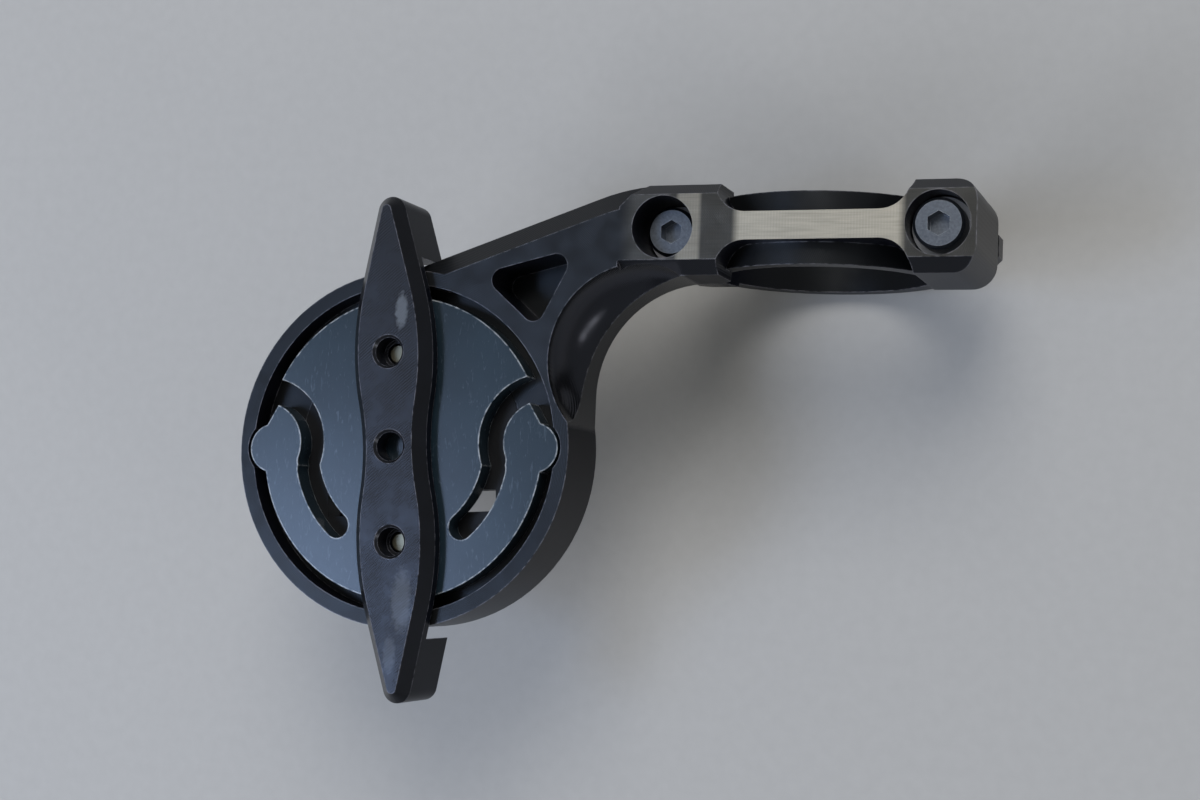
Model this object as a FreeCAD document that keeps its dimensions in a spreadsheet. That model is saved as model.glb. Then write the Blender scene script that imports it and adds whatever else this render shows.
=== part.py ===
"""Out-front bicycle computer mount with a twist lever, modelled in millimetres.

The part's frame: origin at the centre of the handlebar bore, +Y along the bore's axis,
+Z the normal of the face that carries the clamp screw heads, -X towards the round cup.
"""
import FreeCAD, Part
import math
import os
import Sketcher
from FreeCAD import Placement, Rotation, Vector

doc = FreeCAD.newDocument("computer_mount")
sheet = doc.addObject("Spreadsheet::Sheet", "Sizes")

DRIVING_SIZES = {
    # Clamp round the handlebar
    "bore_radius": 15.9,
    "clamp_width": 13.0,
    "front_screw_reach": 19.3,
    "rear_screw_reach": 19.8,
    "near_face": 20.5,
    "split_gap": 1.2,
    "clamp_end": 5.3,
    "shell_wall": 2.3,
    "shell_width": 10.4,
    "web_width": 4.0,
    "front_boss_reach": 7.7,
    "front_boss_width": 9.6,
    "rear_boss_reach": 3.7,
    "web_corner": 4.4,
    "boss_bevel": 1.8,
    "boss_bevel_drop": 3.0,
    "end_round": 3.5,
    "front_corner": 3.5,
    "cap_ear": 5.0,
    "cap_ear_width": 10.0,
    "cap_wall": 2.6,
    "cap_width": 9.0,
    "cap_bevel": 1.2,
    # Clamp screws, M4 socket heads on washers in counterbores
    "clamp_screw_radius": 2.0,
    "clamp_head_radius": 3.6,
    "clamp_head_height": 4.0,
    "clamp_hex_width": 3.0,
    "clamp_hex_depth": 2.2,
    "clamp_hole_clearance": 0.25,
    "thread_clearance": 0.05,
    "washer_radius": 4.3,
    "washer_thickness": 0.8,
    "counterbore_radius": 4.5,
    "front_head_sink": 4.4,
    "rear_head_sink": 0.7,
    "screw_end_margin": 0.3,
    # Cup at the front of the arm
    "cup_reach": 58.4,
    "cup_drop": 32.2,
    "cup_radius": 26.35,
    "cup_depth": 12.0,
    "cup_wall": 2.15,
    "floor_thickness": 3.0,
    "floor_opening": 18.0,
    "recess_radius": 4.3,
    "recess_depth": 0.95,
    # Arm between the cup and the clamp
    "arm_top_offset": 25.5,
    "arm_top_angle": 19.2,
    "arm_top_round": 30.0,
    "arm_bevel": 3.2,
    "arm_inner_round": 17.0,
    "arm_cup_overlap": 0.35,
    "cove_ring_radius": 13.8,
    "cove_profile_radius": 8.0,
    "cove_axis_back": 36.4,
    "cove_axis_up": 13.3,
    "arm_pocket_depth": 8.0,
    "arm_pocket_round": 1.75,
    "arm_pocket_left": 11.5,
    "arm_pocket_left_rise": 25.7,
    "arm_pocket_low": 20.6,
    "arm_pocket_low_rise": 17.7,
    "arm_pocket_right": 26.6,
    "arm_pocket_right_rise": 29.4,
    # Detent plate inside the cup
    "rest_turn": 1.2,
    "plate_gap": 1.9,
    "plate_thickness": 3.6,
    "axial_clearance": 0.1,
    "bump_radius": 3.6,
    "bump_clearance": 0.45,
    "slot_width": 3.8,
    "root_slot_wall": 9.0,
    "root_slot_start": -49.0,
    "root_slot_end": -12.0,
    "tip_slot_radius": 6.0,
    "tip_slot_rise": 0.8,
    "tip_slot_start": 90.0,
    "tip_slot_end": 200.0,
    "arm_tip_inset": 2.0,
    "arm_tip_start": 3.0,
    "arm_tip_rise": 6.4,
    "seat_fit": 0.05,
    # Twist lever across the cup
    "lever_lead": 2.4,
    "lever_rise": 3.9,
    "lever_gap": 0.3,
    "lever_half_length": 37.1,
    "lever_tip_radius": 2.2,
    "lever_wide": 6.3,
    "lever_wide_place": 13.5,
    "lever_shoulder_radius": 42.0,
    "lever_waist": 5.1,
    "lever_bevel": 1.5,
    "lever_bevel_drop": 2.0,
    "tab_inner_radius": 28.2,
    "tab_drop": 11.9,
    "tab_edge_bevel": 0.6,
    "tenon_radius": 3.4,
    "hole_pitch": 13.85,
    "accessory_hole_radius": 2.1,
    "accessory_hole_bevel": 0.4,
    "accessory_hole_depth": 3.4,
    # Computer seat on the far side, a quarter-turn socket
    "seat_gap": 0.3,
    "seat_recess": 0.3,
    "hub_clearance": 0.08,
    "lip_thickness": 1.6,
    "lip_opening": 14.0,
    "socket_radius": 17.2,
    "socket_depth": 4.2,
    "notch_width": 13.0,
    "window_reach": 13.6,
    "window_start": 6.0,
    "window_far_side": 9.6,
    "window_near_side": 6.4,
    # Countersunk M3 screws that join the rotor
    "lever_screw_radius": 1.5,
    "lever_head_radius": 2.8,
    "lever_head_height": 1.4,
    "lever_hex_width": 2.0,
    "lever_hex_depth": 1.0,
    "lever_hole_clearance": 0.2,
}
for row, (alias, number) in enumerate(DRIVING_SIZES.items(), start=1):
    sheet.set(f"A{row}", alias)
    sheet.set(f"B{row}", str(number))
    sheet.setAlias(f"B{row}", alias)
doc.recompute()

BIG = 60.0
TURN = 360.0


def size(formula):
    """The number that a formula of sheet cells gives; cells are written as [alias]."""
    return float(sheet.evalExpression(formula.replace("[", "Sizes.").replace("]", "")))


def bind(owner, path, formula):
    """Ties a property or a constraint to a formula of sheet cells."""
    owner.setExpression(path, formula.replace("[", "Sizes.").replace("]", ""))


def new_body(label):
    body = doc.addObject("PartDesign::Body", label)
    body.Label = label
    return body


def new_sketch(body, name, plane="XY_Plane", x="0", y="0", height="0"):
    """A sketch on one of the body's origin planes, shifted within it and along its normal."""
    sketch = body.newObject("Sketcher::SketchObject", name)
    origin_plane = [f for f in body.Origin.OriginFeatures if f.Role == plane][0]
    sketch.AttachmentSupport = [(origin_plane, "")]
    sketch.MapMode = "FlatFace"
    sketch.AttachmentOffset = Placement(Vector(size(x), size(y), size(height)), Rotation())
    for axis, formula in (("x", x), ("y", y), ("z", height)):
        if formula != "0":
            bind(sketch, f"AttachmentOffset.Base.{axis}", formula)
    return sketch


def constrain(sketch, kind, *where, formula=None):
    """Adds a constraint and, for a measured one, ties it to its formula."""
    if formula is None:
        sketch.addConstraint(Sketcher.Constraint(kind, *where))
        return
    number = size(formula)
    if kind == "Angle":
        number = math.radians(number)
    index = sketch.addConstraint(Sketcher.Constraint(kind, *where, number))
    bind(sketch, f"Constraints[{index}]", formula)


def place_point(sketch, geometry, end, x, y):
    """Fixes one point of a sketch by its two coordinates."""
    if x == "0":
        constrain(sketch, "PointOnObject", geometry, end, -2)
    else:
        constrain(sketch, "DistanceX", -1, 1, geometry, end, formula=x)
    if y == "0":
        constrain(sketch, "PointOnObject", geometry, end, -1)
    else:
        constrain(sketch, "DistanceY", -1, 1, geometry, end, formula=y)


def draw_circle(sketch, radius, x="0", y="0"):
    centre = Vector(size(x), size(y), 0)
    index = sketch.addGeometry(Part.Circle(centre, Vector(0, 0, 1), size(radius)))
    constrain(sketch, "Radius", index, formula=radius)
    place_point(sketch, index, 3, x, y)


def draw_polygon(sketch, corners):
    """A closed outline of straight lines through corners given as formulas."""
    points = [Vector(size(x), size(y), 0) for x, y in corners]
    lines = []
    for start, end in zip(points, points[1:] + points[:1]):
        lines.append(sketch.addGeometry(Part.LineSegment(start, end)))
    for line, after in zip(lines, lines[1:] + lines[:1]):
        constrain(sketch, "Coincident", line, 2, after, 1)
    for line, (x, y) in zip(lines, corners):
        place_point(sketch, line, 1, x, y)


def draw_rectangle(sketch, left, right, low, high):
    draw_polygon(sketch, [(left, low), (right, low), (right, high), (left, high)])


def draw_arc_slot(sketch, inner, outer, start, end, x="0", y="0"):
    """A slot of round ends along an arc: two concentric arcs, two caps and two guide lines."""
    centre = Vector(size(x), size(y), 0)
    up = Vector(0, 0, 1)
    low, high = math.radians(size(start)), math.radians(size(end))
    middle = (size(inner) + size(outer)) / 2
    half = (size(outer) - size(inner)) / 2

    def spoke(angle):
        return Vector(math.cos(angle), math.sin(angle), 0)

    def arc(middle_point, radius, first, last):
        return sketch.addGeometry(Part.ArcOfCircle(Part.Circle(middle_point, up, radius), first, last))

    outside = arc(centre, size(outer), low, high)
    inside = arc(centre, size(inner), low, high)
    first_cap = arc(centre + spoke(low) * middle, half, low + math.pi, low + 2 * math.pi)
    last_cap = arc(centre + spoke(high) * middle, half, high, high + math.pi)
    guides = []
    for angle in (low, high):
        guide = sketch.addGeometry(Part.LineSegment(centre, centre + spoke(angle) * middle), True)
        guides.append(guide)
    place_point(sketch, outside, 3, x, y)
    constrain(sketch, "Coincident", inside, 3, outside, 3)
    constrain(sketch, "Radius", outside, formula=outer)
    constrain(sketch, "Radius", inside, formula=inner)
    for guide, formula in zip(guides, (start, end)):
        constrain(sketch, "Coincident", guide, 1, outside, 3)
        constrain(sketch, "Angle", guide, formula=formula)
    for end_point, guide in ((1, guides[0]), (2, guides[1])):
        constrain(sketch, "PointOnObject", outside, end_point, guide)
        constrain(sketch, "PointOnObject", inside, end_point, guide)
    constrain(sketch, "Coincident", first_cap, 3, guides[0], 2)
    constrain(sketch, "Coincident", last_cap, 3, guides[1], 2)
    constrain(sketch, "Coincident", first_cap, 1, inside, 1)
    constrain(sketch, "Coincident", first_cap, 2, outside, 1)
    constrain(sketch, "Coincident", last_cap, 1, outside, 2)
    constrain(sketch, "Coincident", last_cap, 2, inside, 2)


def volume(body):
    doc.recompute()
    return body.Shape.Volume


def pad(body, sketch, length, midplane=False, reverse=False):
    feature = body.newObject("PartDesign::Pad", sketch.Name + "_pad")
    feature.Profile = sketch
    feature.Midplane = midplane
    feature.Reversed = reverse
    feature.Length = size(length)
    bind(feature, "Length", length)
    sketch.Visibility = False
    doc.recompute()
    return feature


def pocket(body, sketch, length=None, midplane=False, reverse=False):
    """Cuts a sketch into the body, to a depth or right through, and checks that it cut."""
    before = body.Shape.Volume
    feature = body.newObject("PartDesign::Pocket", sketch.Name + "_pocket")
    feature.Profile = sketch
    feature.Midplane = midplane
    feature.Reversed = reverse
    if length is None:
        feature.Length = 2 * BIG
    else:
        feature.Length = size(length)
        bind(feature, "Length", length)
    if volume(body) >= before:
        raise RuntimeError(f"{feature.Name} removes nothing")
    return feature


def round_edges(body, name, edges, radius):
    """Rounds the edges of the body's present shape that a test picks out."""
    feature = body.newObject("PartDesign::Fillet", name)
    feature.Base = (body_base(feature), edges)
    feature.Radius = size(radius)
    bind(feature, "Radius", radius)
    doc.recompute()
    return feature


def bevel_edges(body, name, edges, width, drop=None, flip=False):
    """Bevels edges at 45 degrees, or by two different distances."""
    feature = body.newObject("PartDesign::Chamfer", name)
    feature.Base = (body_base(feature), edges)
    feature.Size = size(width)
    bind(feature, "Size", width)
    if drop:
        feature.ChamferType = "Two distances"
        feature.Size2 = size(drop)
        bind(feature, "Size2", drop)
        feature.FlipDirection = flip
    doc.recompute()
    return feature


def body_base(feature):
    return feature.BaseFeature


def pick_edges(body, wanted):
    """Names of the edges whose middle point and ends satisfy a test."""
    names = []
    for number, edge in enumerate(body.Shape.Edges, start=1):
        middle = edge.valueAt((edge.FirstParameter + edge.LastParameter) / 2)
        ends = [vertex.Point for vertex in edge.Vertexes]
        if wanted(edge, middle, ends):
            names.append(f"Edge{number}")
    if not names:
        raise RuntimeError(f"no edge found on {body.Label}")
    return names


def near(first, second, within=0.02):
    return abs(first - second) < within


def upright(ends):
    return len(ends) == 2 and near(ends[0].x, ends[1].x) and near(ends[0].y, ends[1].y)


# Formulas that several pieces share
FRONT_SCREW = "-[front_screw_reach]"
REAR_SCREW = "[rear_screw_reach]"
HALF_WIDTH = "[clamp_width] / 2"
CUP_X = "-[cup_reach]"
CUP_Y = "-[cup_drop]"
CUP_FAR = "[near_face] - [cup_depth]"
POCKET_RADIUS = "([cup_radius] - [cup_wall])"
RECESS_CENTRE = f"({POCKET_RADIUS} + [recess_depth] - [recess_radius])"
PLATE_RADIUS = f"({POCKET_RADIUS} - [plate_gap])"
BUMP_CENTRE = f"({POCKET_RADIUS} + [recess_depth] - [bump_clearance] - [bump_radius])"
LEVER_TURN = "[rest_turn] + [lever_lead]"
SPLIT_HIGH = "[split_gap] / 2"
ARM_INNER_X = f"{CUP_X} + [cup_radius] - [arm_cup_overlap]"
CLAMP_END = "[rear_screw_reach] + [clamp_end]"
PLATE_FAR = "[near_face] - [plate_thickness]"
FLOOR_NEAR = "[near_face] - [plate_thickness] - [axial_clearance]"
FLOOR_FAR = FLOOR_NEAR + " - [floor_thickness]"
SEAT_TOP = FLOOR_FAR + " - [axial_clearance]"
SEAT_FAR = CUP_FAR + " + [seat_recess]"
LEVER_TOP = "[near_face] + [lever_rise]"
LEVER_UNDER = "[near_face] + [lever_gap]"
SOCKET_FLOOR = SEAT_FAR + " + [socket_depth]"
BEVEL_START = f"{FRONT_SCREW} - {HALF_WIDTH}"
EAR_FRONT = f"{FRONT_SCREW} - [cap_ear_width] / 2"
EAR_FAR = "-[split_gap] / 2 - [cap_ear]"


def clamp_hole(body, name, x, radius, bottom, top):
    """A round hole along Z at one clamp screw."""
    sketch = new_sketch(body, name, height=bottom)
    draw_circle(sketch, radius, x=x)
    return pocket(body, sketch, f"({top}) - ({bottom})", reverse=True)


def make_mount_body():
    """The machined body: cup, arm and the clamp half that holds the screw heads."""
    body = new_body("mount_body")
    far = size(CUP_FAR)
    top = size("[near_face]")

    slope = math.radians(size("[arm_top_angle]"))
    plan = new_sketch(body, "arm_plan", height=CUP_FAR)
    rise = "([cup_drop] + [clamp_width] / 2 - [arm_top_offset] / cos([arm_top_angle])) / tan([arm_top_angle])"
    draw_polygon(plan, [
        (CUP_X, CUP_Y),
        (ARM_INNER_X, CUP_Y),
        (ARM_INNER_X, f"-{HALF_WIDTH}"),
        (f"{FRONT_SCREW} + [front_boss_reach]", f"-{HALF_WIDTH}"),
        (f"{FRONT_SCREW} + [front_boss_reach]", HALF_WIDTH),
        (f"{CUP_X} + {rise}", HALF_WIDTH),
        (f"{CUP_X} - [arm_top_offset] * sin([arm_top_angle])",
         f"{CUP_Y} + [arm_top_offset] * cos([arm_top_angle])"),
    ])
    pad(body, plan, "[cup_depth]")
    inner_x = size(ARM_INNER_X)
    inner_y = -size(HALF_WIDTH)
    corner = pick_edges(body, lambda e, m, ends: upright(ends) and near(m.x, inner_x) and near(m.y, inner_y))
    round_edges(body, "arm_inner_corner", corner, "[arm_inner_round]")
    turn_x = size(f"{CUP_X} + {rise}")
    corner = pick_edges(body, lambda e, m, ends: upright(ends) and near(m.x, turn_x) and m.y > 0)
    round_edges(body, "arm_top_corner", corner, "[arm_top_round]")

    def on_top_line(e, m, ends):
        height = (m.x - size(CUP_X)) * math.sin(slope) - (m.y - size(CUP_Y)) * math.cos(slope)
        outside = m.y > -size("[arm_top_offset]") * 0.4 and height < -size("[arm_top_offset]") + 1.5
        return near(m.z, top) and outside
    bevel_edges(body, "arm_top_bevel", pick_edges(body, on_top_line), "[arm_bevel]")

    disc = new_sketch(body, "cup_disc", height=CUP_FAR)
    draw_circle(disc, "[cup_radius]", CUP_X, CUP_Y)
    pad(body, disc, "[cup_depth]")
    for name, half, bottom, top_face in (
        ("front_boss", HALF_WIDTH, CUP_FAR, "[near_face]"),
        ("front_boss_foot", "[front_boss_width] / 2", SPLIT_HIGH, CUP_FAR),
    ):
        boss = new_sketch(body, name, height=bottom)
        draw_polygon(boss, [
            (f"{FRONT_SCREW} + [front_boss_reach]", f"-{half}"),
            (f"{FRONT_SCREW} + [front_boss_reach]", half),
            (f"{FRONT_SCREW} - {half} + [front_corner]", half),
            (f"{FRONT_SCREW} - {half}", f"{half} - [front_corner]"),
            (f"{FRONT_SCREW} - {half}", f"[front_corner] - {half}"),
            (f"{FRONT_SCREW} - {half} + [front_corner]", f"-{half}"),
        ])
        pad(body, boss, f"{top_face} - ({bottom})")
    blocks = (
        ("rear_boss", f"{REAR_SCREW} - [rear_boss_reach]", CLAMP_END, HALF_WIDTH),
        ("web", FRONT_SCREW, REAR_SCREW, "[web_width] / 2"),
    )
    for name, left, right, half in blocks:
        block = new_sketch(body, name, height=SPLIT_HIGH)
        draw_rectangle(block, left, right, f"-{half}", half)
        pad(body, block, f"[near_face] - {SPLIT_HIGH}")
    shell = new_sketch(body, "clamp_shell", "XZ_Plane")
    draw_circle(shell, "[bore_radius] + [shell_wall]")
    pad(body, shell, "[shell_width]", midplane=True)
    below = new_sketch(body, "clamp_split", height=SPLIT_HIGH)
    draw_rectangle(below, f"{FRONT_SCREW} - [clamp_width]", f"{CLAMP_END} + 1",
                   f"-{HALF_WIDTH} - 1", f"{HALF_WIDTH} + 1")
    pocket(body, below, "2 * [bore_radius]")
    bore = new_sketch(body, "handlebar_bore", "XZ_Plane")
    draw_circle(bore, "[bore_radius]")
    pocket(body, bore, "[clamp_width] + 2", midplane=True)

    half_web = size("[web_width]") / 2
    walls = (size(f"{FRONT_SCREW} + [front_boss_reach]"), size(f"{REAR_SCREW} - [rear_boss_reach]"))

    def web_corner(e, m, ends):
        return near(abs(m.y), half_web) and any(near(m.x, wall) for wall in walls) and upright(ends)
    round_edges(body, "web_corners", pick_edges(body, web_corner), "[web_corner]")

    end_x = size(CLAMP_END)
    corners = pick_edges(body, lambda e, m, ends: upright(ends) and near(m.x, end_x))
    round_edges(body, "clamp_end_round", corners, "[end_round]")

    for side, name in ((1, "bevel_high_side"), (-1, "bevel_low_side")):
        bevel = new_sketch(body, name, "YZ_Plane", height=BEVEL_START)
        edge = f"{side} * [clamp_width] / 2"
        draw_polygon(bevel, [
            (f"{edge} - {side} * [boss_bevel]", "[near_face] + 1"),
            (f"{edge} - {side} * [boss_bevel]", "[near_face]"),
            (edge, "[near_face] - [boss_bevel_drop]"),
            (f"{edge} + {side} * 1", "[near_face] - [boss_bevel_drop]"),
            (f"{edge} + {side} * 1", "[near_face] + 1"),
        ])
        pocket(body, bevel, f"{CLAMP_END} - ({BEVEL_START}) + 1", reverse=True)

    cove = new_sketch(body, "arm_cove", "XZ_Plane",
                      x=f"{CUP_X} + [cove_axis_back]", height=f"-({CUP_Y} + [cove_axis_up])")
    draw_cove_profile(cove)
    before = body.Shape.Volume
    groove = body.newObject("PartDesign::Groove", "arm_cove_groove")
    groove.Profile = cove
    groove.ReferenceAxis = (cove, ["V_Axis"])
    groove.Angle = TURN
    if volume(body) >= before:
        raise RuntimeError("the cove removes nothing")

    triangle = new_sketch(body, "arm_pocket", height="[near_face]")
    draw_polygon(triangle, [
        (f"{CUP_X} + [arm_pocket_{corner}]", f"{CUP_Y} + [arm_pocket_{corner}_rise]")
        for corner in ("left", "low", "right")
    ])
    pocket(body, triangle, "[arm_pocket_depth]")
    floor = size("[near_face] - [arm_pocket_depth]")

    def pocket_corner(e, m, ends):
        return upright(ends) and any(near(point.z, floor) for point in ends) and m.y < size(HALF_WIDTH) - 1
    round_edges(body, "arm_pocket_corners", pick_edges(body, pocket_corner), "[arm_pocket_round]")

    cup_pocket = new_sketch(body, "cup_pocket", height="[near_face]")
    draw_circle(cup_pocket, POCKET_RADIUS, CUP_X, CUP_Y)
    pocket(body, cup_pocket, f"[near_face] - ({FLOOR_NEAR})")
    seat_pocket = new_sketch(body, "seat_pocket", height=CUP_FAR)
    draw_circle(seat_pocket, POCKET_RADIUS, CUP_X, CUP_Y)
    pocket(body, seat_pocket, f"({FLOOR_FAR}) - ({CUP_FAR})", reverse=True)
    opening = new_sketch(body, "floor_opening", height="[near_face]")
    draw_circle(opening, "[floor_opening]", CUP_X, CUP_Y)
    pocket(body, opening, "[cup_depth]")
    recesses = new_sketch(body, "detent_recesses", height="[near_face]")
    for quarter in range(4):
        angle = f"([rest_turn] + {quarter * 90})"
        draw_circle(recesses, "[recess_radius]", f"{CUP_X} + {RECESS_CENTRE} * cos({angle})",
                    f"{CUP_Y} + {RECESS_CENTRE} * sin({angle})")
    pocket(body, recesses, f"[near_face] - ({FLOOR_NEAR})")

    for name, x, sink in (("front", FRONT_SCREW, "[front_head_sink]"),
                          ("rear", REAR_SCREW, "[rear_head_sink]")):
        seat = f"[near_face] - {sink} - [clamp_head_height] - [washer_thickness]"
        clamp_hole(body, f"{name}_counterbore", x, "[counterbore_radius]", seat, "[near_face] + 1")
        clamp_hole(body, f"{name}_screw_hole", x, "[clamp_screw_radius] + [clamp_hole_clearance]", "-1",
                   "[near_face]")
    return body


def draw_cove_profile(sketch):
    """Half section of the cove: a concave quarter round that opens at the near face."""
    ring = size("[cove_ring_radius]")
    curve = size("[cove_profile_radius]")
    top = size("[near_face]")
    up = Vector(0, 0, 1)
    over = top + 1
    arc = sketch.addGeometry(Part.ArcOfCircle(Part.Circle(Vector(ring - curve, top, 0), up, curve),
                                              -math.pi / 2, 0))
    points = [(ring, top), (ring, over), (0, over), (0, top - curve), (ring - curve, top - curve)]
    lines = []
    for start, end in zip(points, points[1:]):
        lines.append(sketch.addGeometry(Part.LineSegment(Vector(*start, 0), Vector(*end, 0))))
    constrain(sketch, "Coincident", arc, 2, lines[0], 1)
    for line, after in zip(lines, lines[1:]):
        constrain(sketch, "Coincident", line, 2, after, 1)
    constrain(sketch, "Coincident", lines[-1], 2, arc, 1)
    constrain(sketch, "Vertical", lines[0])
    constrain(sketch, "Horizontal", lines[1])
    constrain(sketch, "Vertical", arc, 1, arc, 3)
    constrain(sketch, "Horizontal", arc, 2, arc, 3)
    place_point(sketch, lines[2], 1, "0", "[near_face] + 1")
    place_point(sketch, lines[2], 2, "0", "[near_face] - [cove_profile_radius]")
    place_point(sketch, arc, 3, "[cove_ring_radius] - [cove_profile_radius]", "[near_face]")
    constrain(sketch, "Radius", arc, formula="[cove_profile_radius]")


def make_clamp_cap():
    """The removable clamp half: a half shell with a threaded ear at each end."""
    body = new_body("clamp_cap")
    shell = new_sketch(body, "cap_shell", "XZ_Plane")
    draw_circle(shell, "[bore_radius] + [cap_wall]")
    pad(body, shell, "[cap_width]", midplane=True)
    above = new_sketch(body, "cap_split", height=f"-{SPLIT_HIGH}")
    reach = "[bore_radius] + [cap_wall] + 1"
    draw_rectangle(above, f"-({reach})", reach, f"-{HALF_WIDTH} - 1", f"{HALF_WIDTH} + 1")
    pocket(body, above, "2 * [bore_radius]", reverse=True)
    ears = new_sketch(body, "cap_ears", height=EAR_FAR)
    draw_rectangle(ears, EAR_FRONT, CLAMP_END, "-[cap_ear_width] / 2", "[cap_ear_width] / 2")
    pad(body, ears, "[cap_ear]")
    bore = new_sketch(body, "cap_bore", "XZ_Plane")
    draw_circle(bore, "[bore_radius]")
    pocket(body, bore, "[clamp_width] + 2", midplane=True)
    limits = (size(EAR_FRONT), size(CLAMP_END))
    corners = pick_edges(body, lambda e, m, ends: upright(ends) and any(near(m.x, x) for x in limits))
    bevel_edges(body, "cap_end_bevel", corners, "[front_corner]")
    far = size(EAR_FAR)

    def ear_rim(e, m, ends):
        return near(m.z, far) and all(near(point.z, far) for point in ends) and abs(m.x) > size(REAR_SCREW)
    bevel_edges(body, "cap_ear_bevel", pick_edges(body, ear_rim), "[cap_bevel]")
    for name, x in (("cap_front_thread", FRONT_SCREW), ("cap_rear_thread", REAR_SCREW)):
        clamp_hole(body, name, x, "[clamp_screw_radius] + [thread_clearance]", f"{EAR_FAR} - 1", "0")
    return body


def make_hex_pocket(body, name, width, depth, top, x="0", y="0", from_below=False):
    """A hexagon socket of a given width across flats."""
    sketch = new_sketch(body, name, x=x, y=y, height=top)
    corners = []
    for step in range(6):
        angle = 30 + 60 * step
        corners.append((f"{width} / sqrt(3) * cos({angle})", f"{width} / sqrt(3) * sin({angle})"))
    draw_polygon(sketch, [(a if step % 3 != 1 else "0", b) for step, (a, b) in enumerate(corners)])
    pocket(body, sketch, depth, reverse=from_below)


def make_clamp_screw(label, x, sink):
    """A socket head cap screw, its axis along Z, its thread in the cap's ear."""
    body = new_body(label)
    head_top = f"[near_face] - {sink}"
    seat = f"{head_top} - [clamp_head_height]"
    head = new_sketch(body, label + "_head", height=seat)
    draw_circle(head, "[clamp_head_radius]", x=x)
    pad(body, head, "[clamp_head_height]")
    shank = new_sketch(body, label + "_shank", height=seat)
    draw_circle(shank, "[clamp_screw_radius]", x=x)
    pad(body, shank, f"{seat} - ({EAR_FAR}) - [screw_end_margin]", reverse=True)
    high = size(head_top)
    rim = pick_edges(body, lambda e, m, ends: near(m.z, high))
    bevel_edges(body, label + "_head_bevel", rim, "[clamp_head_radius] / 8")
    low = size(f"{EAR_FAR} + [screw_end_margin]")
    point = pick_edges(body, lambda e, m, ends: near(m.z, low))
    bevel_edges(body, label + "_point", point, "[clamp_screw_radius] / 5")
    make_hex_pocket(body, label + "_hex", "[clamp_hex_width]", "[clamp_hex_depth]", head_top, x=x)
    return body


def make_clamp_washer(label, x, sink):
    """A flat washer under one clamp screw's head."""
    body = new_body(label)
    sketch = new_sketch(body, label + "_ring",
                        height=f"[near_face] - {sink} - [clamp_head_height] - [washer_thickness]")
    draw_circle(sketch, "[washer_radius]", x=x)
    draw_circle(sketch, "[clamp_screw_radius] + [clamp_hole_clearance]", x=x)
    pad(body, sketch, "[washer_thickness]")
    return body


def place_on_rotor(body, turn=LEVER_TURN):
    """Puts a piece that was drawn about its own Z axis onto the cup's axis, turned as at rest."""
    body.Placement = Placement(Vector(size(CUP_X), size(CUP_Y), 0), Rotation(Vector(0, 0, 1), size(turn)))
    bind(body, "Placement.Base.x", CUP_X)
    bind(body, "Placement.Base.y", CUP_Y)
    bind(body, "Placement.Rotation.Angle", turn)


def mirror_across_lever(body, features):
    """Repeats features on the other side of the lever's own axis."""
    mirrored = body.newObject("PartDesign::Mirrored", body.Label + "_mirror")
    mirrored.Originals = features
    mirrored.MirrorPlane = ([f for f in body.Origin.OriginFeatures if f.Role == "YZ_Plane"][0], [""])
    body.Tip = mirrored
    doc.recompute()
    return mirrored


def make_detent_plate():
    """The plate in the cup: two curved spring arms, each with a bump for the cup's recesses."""
    body = new_body("detent_plate")
    disc = new_sketch(body, "plate_disc", height=PLATE_FAR)
    draw_circle(disc, PLATE_RADIUS)
    pad(body, disc, "[plate_thickness]")
    tip_slot = new_sketch(body, "arm_tip_slot", height="[near_face]")
    draw_arc_slot(tip_slot, "[tip_slot_radius]", "[tip_slot_radius] + [slot_width]",
                  "[tip_slot_start]", "[tip_slot_end]", x=PLATE_RADIUS, y="[tip_slot_rise]")
    slot_feature = pocket(body, tip_slot, "[plate_thickness]")
    root_slot = new_sketch(body, "arm_root_slot", height="[near_face]")
    root_inner = f"{PLATE_RADIUS} - [root_slot_wall]"
    draw_arc_slot(root_slot, root_inner, f"{root_inner} + [slot_width]",
                  "[root_slot_start]", "[root_slot_end]")
    root_feature = pocket(body, root_slot, "[plate_thickness]")
    relief = new_sketch(body, "arm_tip_relief", height="[near_face]")
    draw_polygon(relief, [
        (PLATE_RADIUS, "[arm_tip_start]"),
        (f"{PLATE_RADIUS} - [arm_tip_inset]", "[arm_tip_rise]"),
        (f"{PLATE_RADIUS} - [arm_tip_inset]", "[arm_tip_rise] + [slot_width] / 2"),
        (f"{PLATE_RADIUS} + 1", "[arm_tip_rise] + [slot_width] / 2"),
        (f"{PLATE_RADIUS} + 1", "[arm_tip_start]"),
    ])
    relief_feature = pocket(body, relief, "[plate_thickness]")
    bump = new_sketch(body, "arm_bump", height=PLATE_FAR)
    draw_circle(bump, "[bump_radius]", x=BUMP_CENTRE)
    bump_feature = pad(body, bump, "[plate_thickness]")
    mirror_across_lever(body, [slot_feature, root_feature, relief_feature, bump_feature])
    holes = new_sketch(body, "plate_holes", height="[near_face]")
    for side in (1, -1):
        draw_circle(holes, "[tenon_radius] + [seat_fit]", x=f"-({side}) * [hole_pitch] * sin([lever_lead])",
                    y=f"{side} * [hole_pitch] * cos([lever_lead])")
    body.Tip = pocket(body, holes, "[plate_thickness]")
    place_on_rotor(body, "[rest_turn]")
    return body


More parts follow.
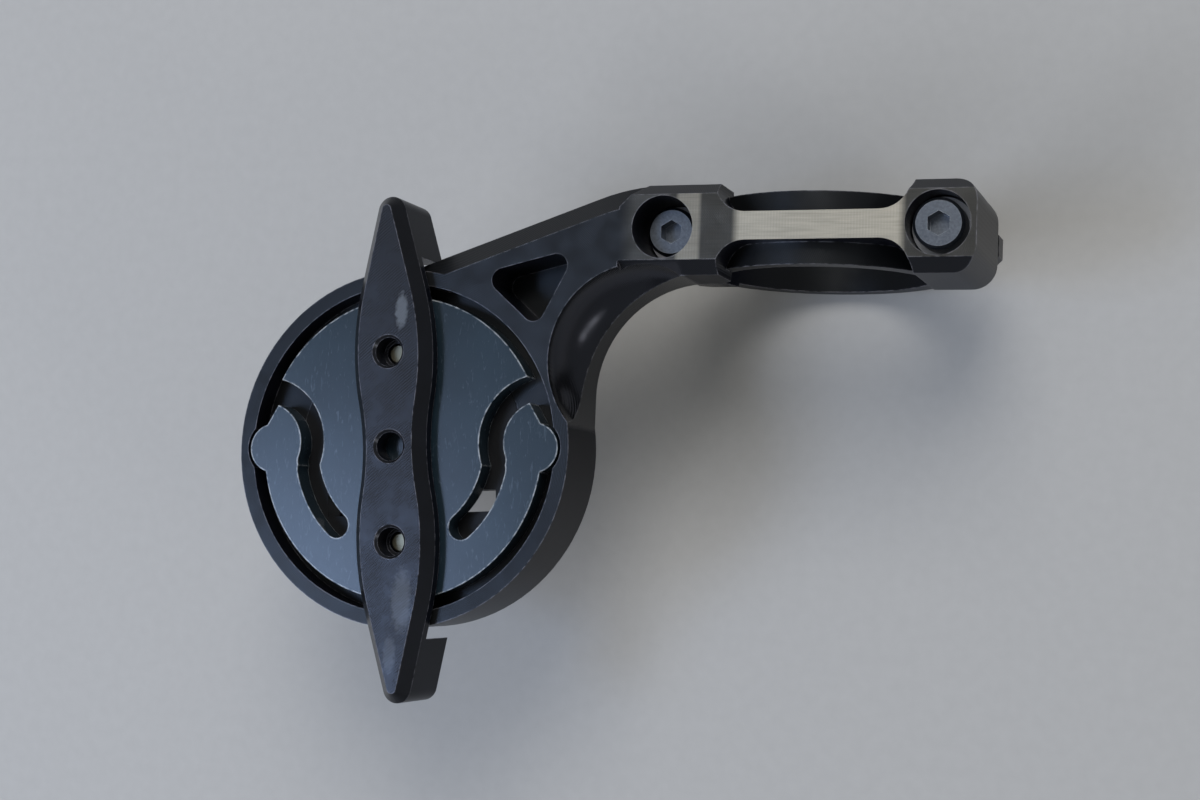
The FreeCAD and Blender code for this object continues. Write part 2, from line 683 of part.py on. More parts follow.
def make_twist_lever():
    """The lever: a bevelled spindle bar, a finger tab at each end and two threaded tenons."""
    body = new_body("twist_lever")
    outline = new_sketch(body, "lever_plan", height=f"{LEVER_TOP} - [tab_drop]")
    draw_lever_outline(outline)
    pad(body, outline, "[tab_drop] - [lever_bevel_drop]")
    bevelled = new_sketch(body, "lever_bevel", height=f"{LEVER_TOP} - [lever_bevel_drop]")
    draw_lever_outline(bevelled)
    top_part = pad(body, bevelled, "[lever_bevel_drop]")
    top_part.TaperAngle = size("-atan([lever_bevel] / [lever_bevel_drop])")
    bind(top_part, "TaperAngle", "-atan([lever_bevel] / [lever_bevel_drop])")
    doc.recompute()
    top = size(LEVER_TOP)
    under = new_sketch(body, "lever_underside", height=f"{LEVER_TOP} - [tab_drop]")
    draw_circle(under, "[tab_inner_radius]")
    pocket(body, under, f"{LEVER_UNDER} - ({LEVER_TOP} - [tab_drop])", reverse=True)
    for side, name in ((1, "upper_tenon"), (-1, "lower_tenon")):
        tenon = new_sketch(body, name, height=PLATE_FAR)
        draw_circle(tenon, "[tenon_radius]", y=f"{side} * [hole_pitch]")
        pad(body, tenon, f"{LEVER_UNDER} - ({PLATE_FAR})")
    low = size(f"{LEVER_TOP} - [tab_drop]")
    rim = pick_edges(body, lambda e, m, ends: near(m.z, low))
    bevel_edges(body, "tab_edge_bevel", rim, "[tab_edge_bevel]")
    threads = new_sketch(body, "tenon_threads", height=LEVER_TOP)
    accessory = new_sketch(body, "accessory_holes", height=LEVER_TOP)
    for side in (1, -1):
        draw_circle(threads, "[lever_screw_radius] + [thread_clearance]", y=f"{side} * [hole_pitch]")
        draw_circle(accessory, "[accessory_hole_radius]", y=f"{side} * [hole_pitch]")
    pocket(body, threads, f"{LEVER_TOP} - ({PLATE_FAR})")
    pocket(body, accessory, "[accessory_hole_depth]")
    middle = new_sketch(body, "middle_hole", height=LEVER_TOP)
    draw_circle(middle, "[accessory_hole_radius]")
    pocket(body, middle, "[tab_drop]")
    mouth = size("[accessory_hole_radius]")

    def hole_mouth(e, m, ends):
        return near(m.z, top) and hasattr(e.Curve, "Radius") and near(e.Curve.Radius, mouth)
    bevel_edges(body, "accessory_mouths", pick_edges(body, hole_mouth), "[accessory_hole_bevel]")
    place_on_rotor(body)
    return body


def draw_lever_outline(sketch):
    """Four equal quarters of arcs and tapers, mirrored about both axes of the sketch."""
    waist, wide, place = size("[lever_waist]"), size("[lever_wide]"), size("[lever_wide_place]")
    shoulder, tip = size("[lever_shoulder_radius]"), size("[lever_tip_radius]")
    tip_y = size("[lever_half_length]") - tip
    step = wide - waist
    swing = (step ** 2 + place ** 2) / (4 * step)
    bend = math.asin(place / 2 / swing)
    # The taper is the outer tangent of the shoulder circle and the tip circle
    back, along = shoulder - wide, tip_y - place
    taper = math.asin((shoulder - tip) / math.hypot(back, along)) - math.atan2(back, along)
    up = Vector(0, 0, 1)

    def arc(x, y, radius, first, last):
        return Part.ArcOfCircle(Part.Circle(Vector(x, y, 0), up, radius), first, last)

    def flip(geometry, about_x, about_y):
        copy = geometry.copy()
        if about_y:
            copy.mirror(Vector(0, 0, 0), Vector(1, 0, 0))
        if about_x:
            copy.mirror(Vector(0, 0, 0), Vector(0, 1, 0))
        return copy

    direction = Vector(math.cos(taper), math.sin(taper), 0)
    shoulder_end = Vector(wide - shoulder, place, 0) + direction * shoulder
    tip_start = Vector(0, tip_y, 0) + direction * tip
    quarter = [
        arc(waist + swing, 0, swing, math.pi - bend, math.pi),
        arc(wide - swing, place, swing, -bend, 0),
        arc(wide - shoulder, place, shoulder, 0, taper),
        Part.LineSegment(shoulder_end, tip_start),
        arc(0, tip_y, tip, taper, math.pi / 2),
    ]
    for about_x, about_y in ((False, False), (False, True), (True, False), (True, True)):
        for piece in quarter:
            sketch.addGeometry(flip(piece, about_x, about_y))


def make_computer_seat():
    """The far-side rotor piece: a flanged hub with a quarter-turn socket for the computer."""
    body = new_body("computer_seat")
    flange = new_sketch(body, "seat_flange", height=SEAT_FAR)
    draw_circle(flange, f"{POCKET_RADIUS} - [seat_gap]")
    pad(body, flange, f"({SEAT_TOP}) - ({SEAT_FAR})")
    hub = new_sketch(body, "seat_hub", height=SEAT_TOP)
    draw_circle(hub, "[floor_opening] - [hub_clearance]")
    pad(body, hub, f"({PLATE_FAR}) - ({SEAT_TOP})")
    socket = new_sketch(body, "socket_undercut", height=f"{SEAT_FAR} + [lip_thickness]")
    draw_circle(socket, "[socket_radius]")
    cut = pocket(body, socket, "[socket_depth] - [lip_thickness]", reverse=True)
    lip = new_sketch(body, "socket_mouth", height=SEAT_FAR)
    draw_circle(lip, "[lip_opening]")
    pocket(body, lip, "[lip_thickness]", reverse=True)
    notches = new_sketch(body, "socket_notches", height=SEAT_FAR)
    draw_rectangle(notches, "-[notch_width] / 2", "[notch_width] / 2", "-[socket_radius] + 0.3",
                   "[socket_radius] - 0.3")
    pocket(body, notches, "[lip_thickness]", reverse=True)
    for side, name in ((1, "right_window"), (-1, "left_window")):
        window = new_sketch(body, name, height=PLATE_FAR)
        draw_rectangle(window, f"{side} * [window_start]", f"{side} * [window_reach]",
                       "-[window_far_side]", "-[window_near_side]")
        pocket(body, window, "[cup_depth]")
    holes = new_sketch(body, "seat_screw_holes", height=PLATE_FAR)
    for side in (1, -1):
        draw_circle(holes, "[lever_screw_radius] + [lever_hole_clearance]", y=f"{side} * [hole_pitch]")
    pocket(body, holes, f"({PLATE_FAR}) - ({SOCKET_FLOOR})")
    floor = size(SOCKET_FLOOR)
    hole = size("[lever_screw_radius] + [lever_hole_clearance]")

    def hole_mouth(e, m, ends):
        return near(m.z, floor) and hasattr(e.Curve, "Radius") and near(e.Curve.Radius, hole)
    bevel_edges(body, "countersinks", pick_edges(body, hole_mouth),
                "[lever_head_radius] + 0.1 - [lever_screw_radius] - [lever_hole_clearance]",
                "[lever_head_height]")
    place_on_rotor(body)
    return body


def make_lever_screw(label, side):
    """A countersunk screw through the seat into one tenon of the lever."""
    body = new_body(label)
    section = new_sketch(body, label + "_section", "XZ_Plane", height=f"-{side} * [hole_pitch]")
    head_low = f"{SOCKET_FLOOR} + 0.05"
    point = f"{LEVER_TOP} - [accessory_hole_depth] - 0.2"
    draw_polygon(section, [
        ("0", head_low),
        ("[lever_head_radius]", head_low),
        ("[lever_screw_radius]", f"{head_low} + [lever_head_height]"),
        ("[lever_screw_radius]", f"{point} - 0.3"),
        ("[lever_screw_radius] - 0.3", point),
        ("0", point),
    ])
    turned = body.newObject("PartDesign::Revolution", label + "_turned")
    turned.Profile = section
    turned.ReferenceAxis = (section, ["V_Axis"])
    turned.Angle = TURN
    doc.recompute()
    make_hex_pocket(body, label + "_hex", "[lever_hex_width]", "[lever_hex_depth]", head_low,
                    y=f"{side} * [hole_pitch]", from_below=True)
    place_on_rotor(body)
    return body


pieces = [
    make_mount_body(),
    make_clamp_cap(),
    make_clamp_screw("clamp_screw_front", FRONT_SCREW, "[front_head_sink]"),
    make_clamp_screw("clamp_screw_rear", REAR_SCREW, "[rear_head_sink]"),
    make_clamp_washer("clamp_washer_front", FRONT_SCREW, "[front_head_sink]"),
    make_clamp_washer("clamp_washer_rear", REAR_SCREW, "[rear_head_sink]"),
    make_detent_plate(),
    make_twist_lever(),
    make_computer_seat(),
    make_lever_screw("lever_screw_upper", 1),
    make_lever_screw("lever_screw_lower", -1),
]
doc.recompute()

for thing in doc.Objects:
    if "Invalid" in thing.State or "Error" in thing.State:
        raise RuntimeError(f"{thing.Name} failed: {thing.State}")
os.makedirs("parts", exist_ok=True)
for piece in pieces:
    shape = piece.Shape
    if shape.isNull() or not shape.isValid():
        raise RuntimeError(f"{piece.Label} has no valid shape")
    shape.exportStep(f"parts/{piece.Label}.step")
    print(piece.Label, "solids", len(shape.Solids), "volume", round(shape.Volume, 1))
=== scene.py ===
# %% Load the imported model
import bpy
import math
from mathutils import Matrix, Vector


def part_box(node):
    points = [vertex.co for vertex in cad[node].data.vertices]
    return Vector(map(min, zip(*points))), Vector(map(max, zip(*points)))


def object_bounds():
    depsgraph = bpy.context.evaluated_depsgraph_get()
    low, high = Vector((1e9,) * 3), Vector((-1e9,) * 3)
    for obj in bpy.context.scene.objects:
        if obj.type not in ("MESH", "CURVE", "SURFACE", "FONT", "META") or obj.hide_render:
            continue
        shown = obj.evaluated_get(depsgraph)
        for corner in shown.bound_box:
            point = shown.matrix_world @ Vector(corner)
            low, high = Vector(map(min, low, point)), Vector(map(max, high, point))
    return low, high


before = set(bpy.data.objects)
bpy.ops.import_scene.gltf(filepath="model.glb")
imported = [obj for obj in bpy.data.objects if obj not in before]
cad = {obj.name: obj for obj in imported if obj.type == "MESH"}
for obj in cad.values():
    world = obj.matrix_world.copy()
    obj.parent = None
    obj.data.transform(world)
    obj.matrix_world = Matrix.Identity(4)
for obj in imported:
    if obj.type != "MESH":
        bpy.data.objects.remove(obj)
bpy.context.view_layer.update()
MM = 0.001

# %% [markdown]
# Every surface of this mount is made by a process: turning, milling, anodising, moulding.
# The materials below are built from those processes, so each one starts from the same small
# tools: a colour written the way a painter's chart writes it, a way to add one shader node
# with its settings and links in a line, and a material with coordinates in millimetres.
# Working in millimetres keeps tool marks at their real pitch.

# %% Small helpers for materials


def colour(code):
    """A linear RGBA colour from an sRGB hex code."""
    parts = [int(code[i:i + 2], 16) / 255 for i in (1, 3, 5)]
    return [c / 12.92 if c <= 0.04045 else ((c + 0.055) / 1.055) ** 2.4 for c in parts] + [1.0]


def join(tree, node, links):
    """Fills a node's inputs from plain values, sockets, or nodes, which give their first live output."""
    for socket, source in links.items():
        if isinstance(source, bpy.types.Node):
            source = next(output for output in source.outputs if output.enabled)
        if isinstance(source, bpy.types.NodeSocket):
            tree.links.new(source, node.inputs[socket])
        else:
            node.inputs[socket].default_value = source


def add(tree, kind, links=None, **settings):
    """One shader node with its settings and links."""
    node = tree.nodes.new(kind)
    for name, value in settings.items():
        setattr(node, name, value)
    join(tree, node, links or {})
    return node


def new_material(name, base, roughness, **more):
    """A Principled material and a node with the position in millimetres."""
    material = bpy.data.materials.new(name)
    material.use_nodes = True
    tree = material.node_tree
    shader = tree.nodes["Principled BSDF"]
    join(tree, shader, {"Base Color": colour(base), "Roughness": roughness})
    join(tree, shader, {socket.replace("_", " "): value for socket, value in more.items()})
    place = add(tree, "ShaderNodeTexCoord").outputs["Object"]
    position = add(tree, "ShaderNodeVectorMath", {0: place, 1: (1000, 1000, 1000)}, operation="MULTIPLY")
    return material, tree, shader, position


def dress(names, material):
    """Gives one material to CAD nodes."""
    for name in names:
        cad[name].data.materials.clear()
        cad[name].data.materials.append(material)


print("linear value of #808080:", round(colour("#808080")[0], 3))

# %% [markdown]
# Machined aluminium still shows its cutter: faint parallel or round lines a few tenths of a
# millimetre apart. A wave texture would do, but a sine of a distance is easier to aim, because
# the distance can run along a direction or round an axis. The lines go in as a very low bump,
# and slow noise breaks them up, as the real ones fade in and out.

# %% Tool marks


def line_pattern(tree, along, pitch, position, fade=0.6):
    """Ridges across a distance in millimetres, from -1 to 1, broken up by noise."""
    turns = add(tree, "ShaderNodeMath", {0: along, 1: 2 * math.pi / pitch}, operation="MULTIPLY")
    ridge = add(tree, "ShaderNodeMath", {0: turns}, operation="SINE")
    patchy = add(tree, "ShaderNodeTexNoise", {"Vector": position, "Scale": 0.35, "Detail": 3.0})
    strength = add(tree, "ShaderNodeMapRange", {"Value": patchy, "From Min": 0.3, "From Max": 0.7,
                                                "To Min": 1 - fade, "To Max": 1.0})
    return add(tree, "ShaderNodeMath", {0: ridge, 1: strength}, operation="MULTIPLY")


def from_axis(tree, position, x, y):
    """Distance in millimetres from an upright axis."""
    shifted = add(tree, "ShaderNodeVectorMath", {0: position, 1: (-x, -y, 0)}, operation="ADD")
    flat = add(tree, "ShaderNodeVectorMath", {0: shifted, 1: (1, 1, 0)}, operation="MULTIPLY")
    return add(tree, "ShaderNodeVectorMath", {0: flat}, operation="LENGTH")


low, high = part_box("twist_lever")
AXIS_X, AXIS_Y = (low.x + high.x) / 2 / MM, (low.y + high.y) / 2 / MM
print("rotor axis at", round(AXIS_X, 2), round(AXIS_Y, 2), "mm")

# %% [markdown]
# Wear sits where things touch: on the convex edges first, and in patches on the faces that
# stand proud. The edge mask also paints the thin bright highlight that light draws along an edge.
# The shader's bevel gives a rounded normal near an edge, and where that differs from the true one
# there is an edge. Masks made from a position keep each finish to its place, and a mask from the
# normal tells a flat that faces up from the walls round it, for a painted sheen.

# %% Masks for wear, painted highlights and places


def worn_glinting_edges(tree, width, sharpness, position):
    """Above 0 on convex edges within a width in metres, broken up by noise."""
    rounded = add(tree, "ShaderNodeBevel", {"Radius": width}, samples=4)
    true = add(tree, "ShaderNodeNewGeometry").outputs["Normal"]
    same = add(tree, "ShaderNodeVectorMath", {0: rounded, 1: true}, operation="DOT_PRODUCT")
    patchy = add(tree, "ShaderNodeTexNoise", {"Vector": position, "Scale": 1.2, "Detail": 6.0})
    edge = add(tree, "ShaderNodeMapRange", {"Value": same, "From Min": 0.995, "From Max": 0.90,
                                            "To Min": 0.0, "To Max": sharpness})
    uneven = add(tree, "ShaderNodeMapRange", {"Value": patchy, "From Min": 0.35, "From Max": 0.6})
    return add(tree, "ShaderNodeMath", {0: edge, 1: uneven}, operation="MULTIPLY")


def zone(tree, value, start, end, soft=0.4):
    """1 where a value lies between two limits, with soft ends."""
    rising = add(tree, "ShaderNodeMapRange", {"Value": value, "From Min": start - soft,
                                              "From Max": start + soft}, interpolation_type="SMOOTHSTEP")
    falling = add(tree, "ShaderNodeMapRange", {"Value": value, "From Min": end + soft,
                                               "From Max": end - soft}, interpolation_type="SMOOTHSTEP")
    return add(tree, "ShaderNodeMath", {0: rising, 1: falling}, operation="MULTIPLY")


def rubbed(tree, position, place, reach, grain):
    """A worn patch round a place: solid in the middle, broken up towards its rim."""
    offset = add(tree, "ShaderNodeVectorMath", {0: position, 1: place}, operation="SUBTRACT")
    scaled = add(tree, "ShaderNodeVectorMath", {0: offset, 1: reach}, operation="DIVIDE")
    away = add(tree, "ShaderNodeVectorMath", {0: scaled}, operation="LENGTH")
    noise = add(tree, "ShaderNodeTexNoise", {"Vector": position, "Scale": grain, "Detail": 8.0,
                                             "Roughness": 0.7})
    level = add(tree, "ShaderNodeMath", {0: away, 1: noise}, operation="ADD")
    return add(tree, "ShaderNodeMapRange", {"Value": level, "From Min": 1.25, "From Max": 0.95})


def facing_up(tree, height, most):
    """0 on walls, rising to a value on faces that look up; height is the normal's Z."""
    return add(tree, "ShaderNodeMapRange", {"Value": height, "From Min": 0.3, "From Max": 0.95,
                                            "To Max": most})


print("mask helpers: edges, zone, rubbed patch, facing up")

# %% [markdown]
# The body is cut from aluminium and anodised black: a dark dye in a clear, hard oxide skin.
# Faces that look up and the cove get a painted sheen, a lighter colour with some metal in it,
# and the walls keep the plain dark colour. A specular level that varies would say the same,
# but it is lost when the model is exported, and colour, metallic and roughness are kept. So the
# level is one low number, and the sheen is painted into the colour and the metal.

# %% Black anodised body
NEAR_FACE = 20.5
COVE_X, COVE_Y = (-36.0, -17.0), (-28.5, -5.0)
TURNED_PITCH = 0.24
body_skin, tree, shader, position = new_material("anodised black", "#15151A", 0.4,
                                                 Specular_IOR_Level=0.07)
x, y, z = add(tree, "ShaderNodeSeparateXYZ", {0: position}).outputs
normal = add(tree, "ShaderNodeTexCoord").outputs["Normal"]
normal_z = add(tree, "ShaderNodeSeparateXYZ", {0: normal}).outputs["Z"]
cloud = add(tree, "ShaderNodeTexNoise", {"Vector": position, "Scale": 0.12, "Detail": 4.0})
upward = facing_up(tree, normal_z, 1.0)
cove_area = add(tree, "ShaderNodeMath", {0: zone(tree, x, *COVE_X), 1: zone(tree, y, *COVE_Y)},
                operation="MULTIPLY")
cove = add(tree, "ShaderNodeMath", {0: cove_area, 1: zone(tree, normal_z, -0.2, 0.9, 0.05)},
           operation="MULTIPLY")
# Painted sheen: faces that look up take the lighter colour, walls keep the plain dark one
wall_black = add(tree, "ShaderNodeMix", {0: cloud, 6: colour("#0D0E13"), 7: colour("#17181F")},
              data_type="RGBA")
sheen_on_flats = add(tree, "ShaderNodeMix", {0: cloud, 6: colour("#2E2F30"), 7: colour("#323334")},
             data_type="RGBA")
tone = add(tree, "ShaderNodeMix", {0: upward, 6: wall_black, 7: sheen_on_flats}, data_type="RGBA")
# Painted sheen in the cove: a lighter colour, and below most of the metal, over its smoother finish
tone = add(tree, "ShaderNodeMix", {0: cove, 6: tone, 7: colour("#3A3B40")}, data_type="RGBA")
# Wear and a painted highlight along the convex edges
wear_and_glint = worn_glinting_edges(tree, 0.25 * MM, 0.8, position)
tone = add(tree, "ShaderNodeMix", {0: wear_and_glint, 6: tone, 7: colour("#8E8C90")}, data_type="RGBA")
# The metal's share, which with the lighter colour paints the sheen: none on walls, less on worn, glinting
# edges, most of it on flats and in the cove
metal = add(tree, "ShaderNodeMath", {0: upward, 1: 0.8}, operation="MULTIPLY")
metal = add(tree, "ShaderNodeMix", {0: cove, 2: metal, 3: 0.9}, data_type="FLOAT")
metal = add(tree, "ShaderNodeMix", {0: wear_and_glint, 2: metal, 3: 0.0}, data_type="FLOAT")
dull = add(tree, "ShaderNodeMix", {0: cove, 2: 0.3, 3: 0.2}, data_type="FLOAT")
turning = line_pattern(tree, from_axis(tree, position, AXIS_X, AXIS_Y), TURNED_PITCH, position)
print("body material has", len(tree.nodes), "nodes")

# %% [markdown]
# The face round the clamp screws looks as if it was cut last, across the arm, with a coarse
# cutter, and keeps fine lines across it. Over it lies a painted sheen of warm light in bands,
# pale metal with the lines in it: a bright web, a bright pad beside the front screw, and a dim rest.

# %% Painted sheen on the milled face of the clamp
WEB_X, PAD_X, DIM_SHEEN_X = (-8.6, 15.0), (-17.2, -13.7), (-24.5, 26.0)
MILLED_PITCH = 0.42
at_face = zone(tree, z, NEAR_FACE - 0.2, NEAR_FACE + 0.5, 0.1)
flat_top = add(tree, "ShaderNodeMath", {0: at_face, 1: zone(tree, normal_z, 0.9, 1.1, 0.05)},
               operation="MULTIPLY")
web = zone(tree, x, *WEB_X, 0.9)
pad = add(tree, "ShaderNodeMath", {0: zone(tree, x, *PAD_X, 0.5), 1: 0.6}, operation="MULTIPLY")
rest = add(tree, "ShaderNodeMath", {0: zone(tree, x, *DIM_SHEEN_X, 1.5), 1: 0.1}, operation="MULTIPLY")
bands = add(tree, "ShaderNodeMath", {0: pad, 1: rest}, operation="MAXIMUM")
bands = add(tree, "ShaderNodeMath", {0: web, 1: bands}, operation="MAXIMUM")
stretched = add(tree, "ShaderNodeVectorMath", {0: position, 1: (0.25, 5.0, 1.0)}, operation="MULTIPLY")
long_marks = add(tree, "ShaderNodeTexNoise", {"Vector": stretched, "Scale": 1.0, "Detail": 3.0})
streaks = add(tree, "ShaderNodeMapRange", {"Value": long_marks, "From Min": 0.3, "From Max": 0.65,
                                           "To Min": 0.8, "To Max": 1.0})
# Painted sheen: warm, pale metal in bands over the flat face; the fine lines in it are tool marks
bright = add(tree, "ShaderNodeMath", {0: flat_top, 1: bands}, operation="MULTIPLY")
bright = add(tree, "ShaderNodeMath", {0: bright, 1: streaks}, operation="MULTIPLY")
across = line_pattern(tree, x, MILLED_PITCH, position, fade=0.9)
milled_sheen = add(tree, "ShaderNodeMix", {0: across, 6: colour("#C0B8A6"), 7: colour("#CAC2B0")},
             data_type="RGBA")
low_lines = add(tree, "ShaderNodeMath", {0: across, 1: 0.3}, operation="MULTIPLY")
ridges = add(tree, "ShaderNodeMix", {0: bright, 2: turning, 3: low_lines}, data_type="FLOAT")
join(tree, shader, {
    "Base Color": add(tree, "ShaderNodeMix", {0: bright, 6: tone, 7: milled_sheen}, data_type="RGBA"),
    "Metallic": add(tree, "ShaderNodeMix", {0: bright, 2: metal, 3: 1.0}, data_type="FLOAT"),
    "Roughness": add(tree, "ShaderNodeMix", {0: bright, 2: dull, 3: 0.42}, data_type="FLOAT"),
    "Normal": add(tree, "ShaderNodeBump", {"Height": ridges, "Distance": 0.006 * MM})})
dress(["mount_body", "clamp_cap"], body_skin)
print("bright web over x", WEB_X, "bright pad over x", PAD_X, "mm")

# %% [markdown]
# The lever is anodised too, and its wide face keeps the slanting lines of the cutter. Three
# patches are rubbed: fingers and a table top wear the high flat face first. As on the body,
# metal in the skin stands for the sheen. The light that the wide face mirrors is added to the
# tone, and its share of the sum is metal, so what is left for the tone is the tone itself.

# %% Twist lever
LEVER_FACE = 24.4
SLANT, LEVER_PITCH = (0.64, -0.77, 0.0), 0.36
MIRRORED = 0.046
lever_skin, tree, shader, position = new_material("anodised lever", "#1B1C22", 0.27,
                                                  Specular_IOR_Level=0.06)
slant = add(tree, "ShaderNodeVectorMath", {0: position, 1: SLANT}, operation="DOT_PRODUCT")
normal = add(tree, "ShaderNodeTexCoord").outputs["Normal"]
normal_z = add(tree, "ShaderNodeSeparateXYZ", {0: normal}).outputs["Z"]
milling = add(tree, "ShaderNodeMath", {0: line_pattern(tree, slant, LEVER_PITCH, position),
                                       1: zone(tree, normal_z, 0.85, 1.1, 0.1)}, operation="MULTIPLY")
cloud = add(tree, "ShaderNodeTexNoise", {"Vector": position, "Scale": 0.2, "Detail": 5.0})
tone = add(tree, "ShaderNodeMix", {0: cloud, 6: colour("#0F1116"), 7: colour("#1A1D26")},
           data_type="RGBA")
lined = add(tree, "ShaderNodeMapRange", {"Value": milling, "From Min": 0.2, "From Max": 1.0,
                                         "To Max": 0.35})
tone = add(tree, "ShaderNodeMix", {0: lined, 6: tone, 7: colour("#3A3E4C")}, data_type="RGBA")
for spot, reach, amount, shade in (((-57.4, -12.4), (1.5, 3.9, 1.0), 0.5, "#7A8086"),
                                   ((-55.3, -54.5), (2.4, 7.0, 1.0), 0.3, "#6A6D70"),
                                   ((-56.8, -62.0), (1.5, 4.0, 1.0), 0.2, "#757A80")):
    patch = rubbed(tree, position, (*spot, LEVER_FACE), reach, 1.4)
    worn = add(tree, "ShaderNodeMath", {0: patch, 1: amount}, operation="MULTIPLY")
    tone = add(tree, "ShaderNodeMix", {0: worn, 6: tone, 7: colour(shade)}, data_type="RGBA")
# Wear and a painted highlight along the convex edges
wear_and_glint = worn_glinting_edges(tree, 0.2 * MM, 0.8, position)
tone = add(tree, "ShaderNodeMix", {0: wear_and_glint, 6: tone, 7: colour("#9A99A2")}, data_type="RGBA")
mirrored = facing_up(tree, normal_z, MIRRORED)
grey = add(tree, "ShaderNodeRGBToBW", {"Color": tone})
whole = add(tree, "ShaderNodeMath", {0: grey, 1: mirrored}, operation="ADD")
join(tree, shader, {
    "Base Color": add(tree, "ShaderNodeVectorMath", {0: tone, 1: mirrored}, operation="ADD"),
    "Metallic": add(tree, "ShaderNodeMath", {0: mirrored, 1: whole}, operation="DIVIDE"),
    "Normal": add(tree, "ShaderNodeBump", {"Height": milling, "Distance": 0.016 * MM})})
dress(["twist_lever"], lever_skin)
print("lever material has", len(tree.nodes), "nodes")

# %% [markdown]
# The detent plate is taken for a hard plastic such as acetal: slate grey, pale along its edges
# from wear and a painted highlight, and scratched by grit that gets under the lever. The seat
# behind it is darker and has the fine grain of a mould.

# %% Plastic pieces
plate_skin, tree, shader, position = new_material("slate plastic", "#2A3138", 0.22)
cloud = add(tree, "ShaderNodeTexNoise", {"Vector": position, "Scale": 0.1, "Detail": 5.0})
tone = add(tree, "ShaderNodeMix", {0: cloud, 6: colour("#18232A"), 7: colour("#273741")},
           data_type="RGBA")
stretched = add(tree, "ShaderNodeVectorMath", {0: position, 1: (2.2, 0.5, 1.0)}, operation="MULTIPLY")
scratch = add(tree, "ShaderNodeTexNoise", {"Vector": stretched, "Scale": 1.1, "Detail": 9.0,
                                           "Distortion": 1.2})
scuffs = add(tree, "ShaderNodeMapRange", {"Value": scratch, "From Min": 0.6, "From Max": 0.72,
                                          "To Max": 0.3})
tone = add(tree, "ShaderNodeMix", {0: scuffs, 6: tone, 7: colour("#66717C")}, data_type="RGBA")
# Wear and a painted highlight along the convex edges
wear_and_glint = worn_glinting_edges(tree, 0.38 * MM, 1.0, position)
grain = add(tree, "ShaderNodeTexNoise", {"Vector": position, "Scale": 6.0, "Detail": 2.0})
join(tree, shader, {
    "Base Color": add(tree, "ShaderNodeMix", {0: wear_and_glint, 6: tone, 7: colour("#D2D5D5")}, data_type="RGBA"),
    "Normal": add(tree, "ShaderNodeBump", {"Height": grain, "Distance": 0.01 * MM})})
dress(["detent_plate"], plate_skin)

seat_skin, tree, shader, position = new_material("black plastic", "#101012", 0.5, Specular_IOR_Level=0.3)
grain = add(tree, "ShaderNodeTexNoise", {"Vector": position, "Scale": 8.0, "Detail": 2.0})
join(tree, shader, {"Normal": add(tree, "ShaderNodeBump", {"Height": grain, "Distance": 0.02 * MM})})
dress(["computer_seat"], seat_skin)
print("plastic materials made")

# %% [markdown]
# The screws are blackened steel, the washers plain steel and the lever's screws dull plated
# steel. Metals keep the shader's own refraction value and get their look from colour,
# roughness and a fine grain.

# %% Screws and washers
screw_skin, tree, shader, position = new_material("blackened steel", "#6A6E74", 0.34, Metallic=1.0)
grain = add(tree, "ShaderNodeTexNoise", {"Vector": position, "Scale": 3.0, "Detail": 5.0})
tone = add(tree, "ShaderNodeMix", {0: grain, 6: colour("#565B62"), 7: colour("#8B9097")},
           data_type="RGBA")
# Wear and a painted highlight along the convex edges
wear_and_glint = worn_glinting_edges(tree, 0.15 * MM, 0.8, position)
join(tree, shader, {"Base Color": add(tree, "ShaderNodeMix", {0: wear_and_glint, 6: tone, 7: colour("#C4C6C9")},
                                      data_type="RGBA")})
dress(["clamp_screw_front", "clamp_screw_rear"], screw_skin)

for finish, base, roughness, scale, detail, depth, names in (
        ("plain steel", "#A8A8AA", 0.3, 4.0, 3.0, 0.01, ["clamp_washer_front", "clamp_washer_rear"]),
        ("dull plated steel", "#8C8570", 0.35, 5.0, 4.0, 0.03, ["lever_screw_upper", "lever_screw_lower"])):
    steel, tree, shader, position = new_material(finish, base, roughness, Metallic=1.0)
    grain = add(tree, "ShaderNodeTexNoise", {"Vector": position, "Scale": scale, "Detail": detail})
    join(tree, shader, {"Normal": add(tree, "ShaderNodeBump", {"Height": grain, "Distance": depth * MM})})
    dress(names, steel)
print("metal materials made")

# %% [markdown]
# The floor is plain and pale, and lies at the lowest point of the part.

# %% Floor
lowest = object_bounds()[0][2]
bpy.ops.mesh.primitive_plane_add(size=4.0, location=(-0.03, -0.02, lowest))
floor = bpy.context.object
floor.name = "floor"
floor_skin, tree, shader, position = new_material("pale floor", "#BDBAB4", 0.8)
grain = add(tree, "ShaderNodeTexNoise", {"Vector": position, "Scale": 0.5, "Detail": 3.0})
join(tree, shader, {"Base Color": add(tree, "ShaderNodeMix", {0: grain, 6: colour("#B9B6B0"),
                                                              7: colour("#C1BEB8")}, data_type="RGBA")})
floor.data.materials.append(floor_skin)
print("floor at", round(lowest / MM, 2), "mm")

# %% [markdown]
# The photograph was taken from almost straight above the cup, a little to the side. The lens
# and the camera's place were found by fitting one pinhole camera to the round features: the
# clamp, the cup, the holes and the screws. Their sizes are estimates, from a clamp for a
# 31.8 mm bar and from M4 and M3 screws. The turn and shift below carry a point of the part,
# measured from the cup's middle, into the camera's own axes.

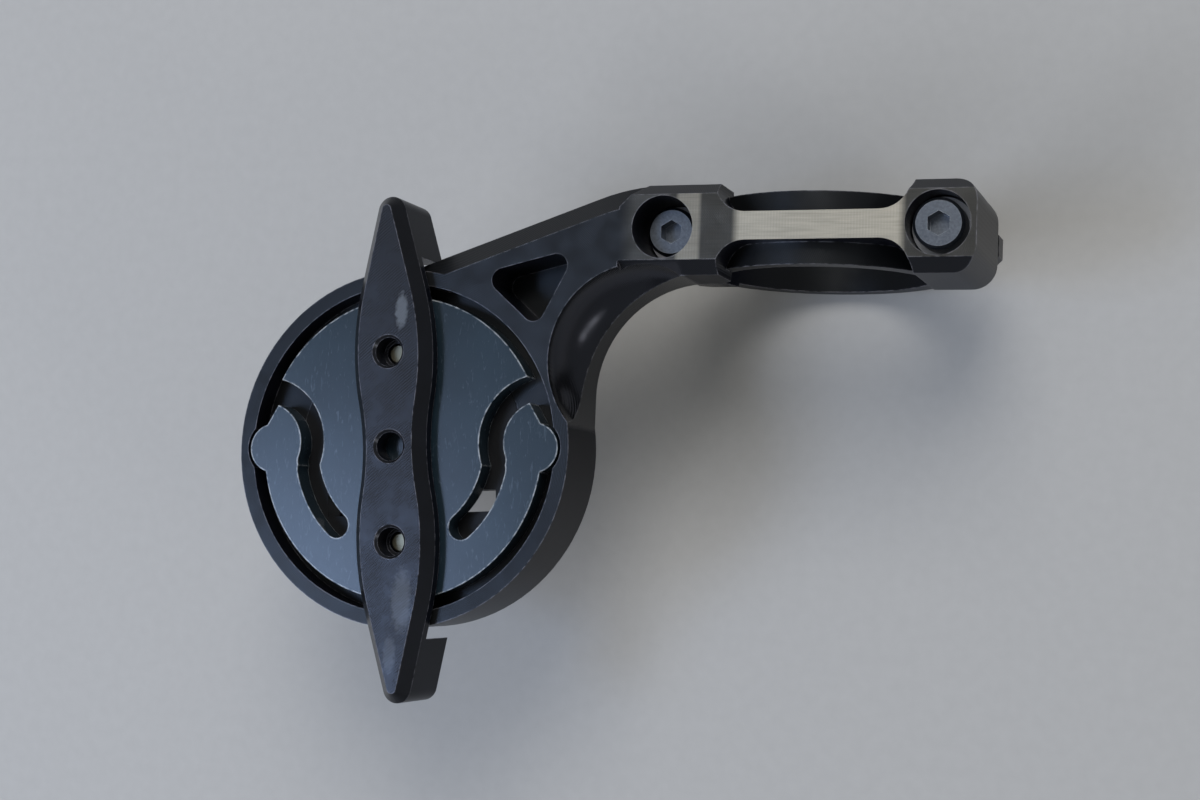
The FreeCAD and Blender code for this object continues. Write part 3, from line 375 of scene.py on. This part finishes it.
# %% Camera
CUP = Vector((-58.4, -32.2, NEAR_FACE))
turn = (Matrix.Rotation(-0.0906, 3, "X") @ Matrix.Rotation(-0.3351, 3, "Y")
        @ Matrix.Rotation(-0.0422, 3, "Z"))
shift = Vector((-29.3952, -7.0304, -293.9648))
camera_data = bpy.data.cameras.new("camera")
camera_data.lens = 60.0
camera_data.sensor_width = 36.0
camera_data.clip_start = 0.01
camera = bpy.data.objects.new("camera", camera_data)
bpy.context.collection.objects.link(camera)
camera.matrix_world = (Matrix.Translation((CUP - turn.transposed() @ shift) * MM)
                       @ turn.transposed().to_4x4())
bpy.context.scene.camera = camera
print("camera at", [round(v, 4) for v in camera.matrix_world.translation])

# %% [markdown]
# The light is a soft room: a cool window low on the left, a small pane above it that only the
# lower left faces mirror towards the camera, a weak panel overhead, and a narrow strip on the
# right that draws the long streaks in the cove. The pane's place follows from the camera: a flat
# face mirrors the camera's line of sight, so the faces that look bright fix where the pane is.

# %% Light
for name, place, target, width, power, tint in (
        ("window", (-0.58, -0.42, 0.52), (-0.05, -0.03, 0.0), 0.5, 3.2, "#E2EBFF"),
        ("pane", (-0.461, -0.118, 0.706), (-0.058, -0.032, 0.02), 0.22, 1.3, "#B4D0FF"),
        ("overhead", (0.1, 0.55, 0.8), (-0.03, -0.02, 0.0), 0.5, 3.5, "#FFFFFF"),
        ("strip", (0.55, -0.35, 0.35), (-0.02, -0.02, 0.01), 0.12, 0.35, "#FFFFFF")):
    lamp = bpy.data.lights.new(name, "AREA")
    lamp.size, lamp.energy, lamp.color = width, power, colour(tint)[:3]
    item = bpy.data.objects.new(name, lamp)
    item.location = place
    item.rotation_euler = (Vector(target) - Vector(place)).to_track_quat("-Z", "Y").to_euler()
    bpy.context.collection.objects.link(item)
world = bpy.data.worlds.new("room")
bpy.context.scene.world = world
world.use_nodes = True
join(world.node_tree, world.node_tree.nodes["Background"], {"Color": colour("#DDE2E8"), "Strength": 0.32})
bpy.context.scene.view_settings.view_transform = "Standard"
